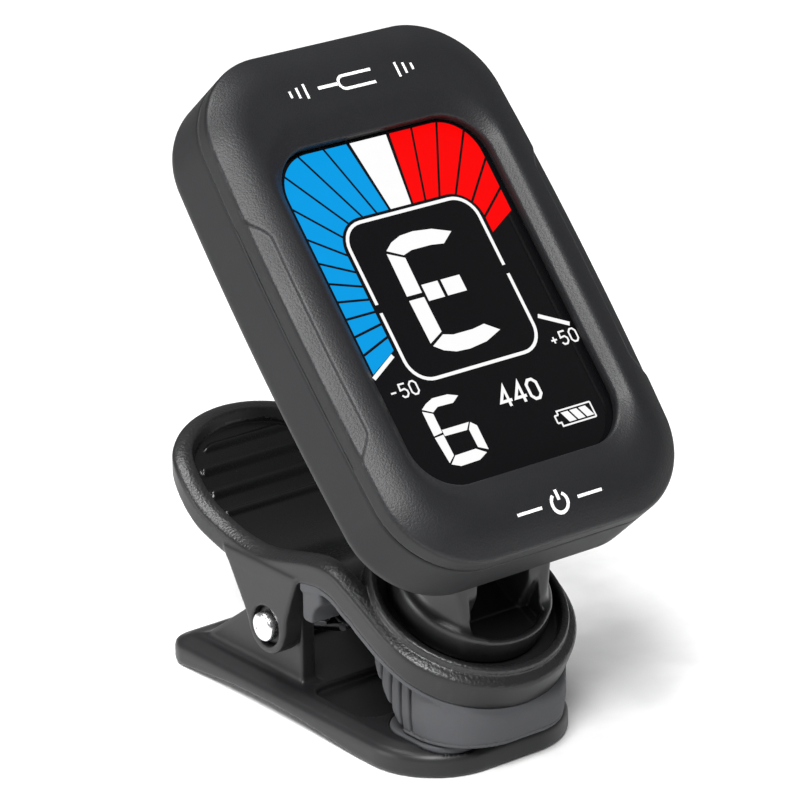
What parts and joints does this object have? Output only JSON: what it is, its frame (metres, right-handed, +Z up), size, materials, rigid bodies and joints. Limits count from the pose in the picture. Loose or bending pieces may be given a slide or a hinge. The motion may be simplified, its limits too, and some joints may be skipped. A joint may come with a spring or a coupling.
{
  "type": "clip on tuner",
  "caption": "Clip-on instrument tuner: a display housing on a tilting, turning neck, carried by a sprung clip with rubber jaw pads.",
  "frame": {"origin": "the point of the surface it stands on that is straight below the display housing's centre", "axes": "+Z up, +X to the viewer's right when the display is read, +Y towards the handles, away from the viewer"},
  "size_m": [0.036, 0.055, 0.0666],
  "materials": {
    "housing_plastic": "satin moulded plastic with a fine spark texture",
    "display_window": "polished black window",
    "lcd_glass": "coated display glass",
    "white_light_guide": "milky moulded light guide",
    "plated_steel": "zinc plated",
    "circuit_board": "green solder mask",
    "component_black": "moulded epoxy",
    "nickel_can": "nickel plated can",
    "brass_disc": "rolled brass disc",
    "spring_contact": "nickel plated spring strip",
    "black_screw": "black oxide",
    "neck_plastic": "semi-gloss moulded plastic",
    "clip_plastic": "moulded plastic with a leather grain",
    "grey_rubber": "matt soft rubber",
    "bright_steel": "bright turned steel",
    "spring_steel": "drawn spring wire"
  },
  "bodies": {
    "lower_clip": {"lower_arm": "clip_plastic", "lower_pad": "grey_rubber", "pivot_pin": "bright_steel", "clip_spring": "spring_steel"},
    "upper_clip": {"upper_arm": "clip_plastic", "upper_pad": "grey_rubber"},
    "neck": {"swivel_neck": "neck_plastic", "tilt_screw": "plated_steel", "tilt_nut": "plated_steel", "swivel_screw": "plated_steel", "swivel_washer": "plated_steel"},
    "head": {"front_cover": "housing_plastic", "rear_cover": "housing_plastic", "display_window": "display_window", "lcd_panel": "lcd_glass", "backlight": "white_light_guide", "lcd_pins": "plated_steel", "main_board": "circuit_board", "tuner_chip": "component_black", "clock_crystal": "nickel_can", "tact_switch": "component_black", "piezo_sensor": "brass_disc", "cell_spring": "spring_contact", "cell_side_contact": "spring_contact", "coin_cell": "nickel_can", "housing_screws": "black_screw"},
    "button": {"mode_button": "housing_plastic"},
    "cell_cap": {"battery_cap": "housing_plastic"}
  },
  "joints": [
    {"name": "clip_open", "type": "hinge", "parent": "lower_clip", "child": "upper_clip", "pos_m": [0, 0.0146, 0.0094], "axis": [-1, 0, 0], "range_deg": [0, 40], "stiffness_Nm_per_rad": 0.25, "springref_deg": -28.65, "deforming": ["clip_spring"]},
    {"name": "swivel", "type": "hinge", "parent": "upper_clip", "child": "neck", "pos_m": [0, -0.00315, 0.0146], "axis": [0, -0.454, 0.891], "continuous": true},
    {"name": "tilt", "type": "hinge", "parent": "neck", "child": "head", "pos_m": [0, -0.00642, 0.02102], "axis": [1, 0, 0], "range_deg": [-41, 49]},
    {"name": "button_press", "type": "slide", "parent": "head", "child": "button", "axis": [0, -0.7431, 0.6691], "range_m": [0, 0.0004], "stiffness_N_per_m": 600, "springref_m": -0.0001},
    {"name": "cap_turn", "type": "hinge", "parent": "head", "child": "cell_cap", "pos_m": [0, 0.01052, 0.04431], "axis": [0, -0.7431, 0.6691], "range_deg": [0, 60]}
  ]
}
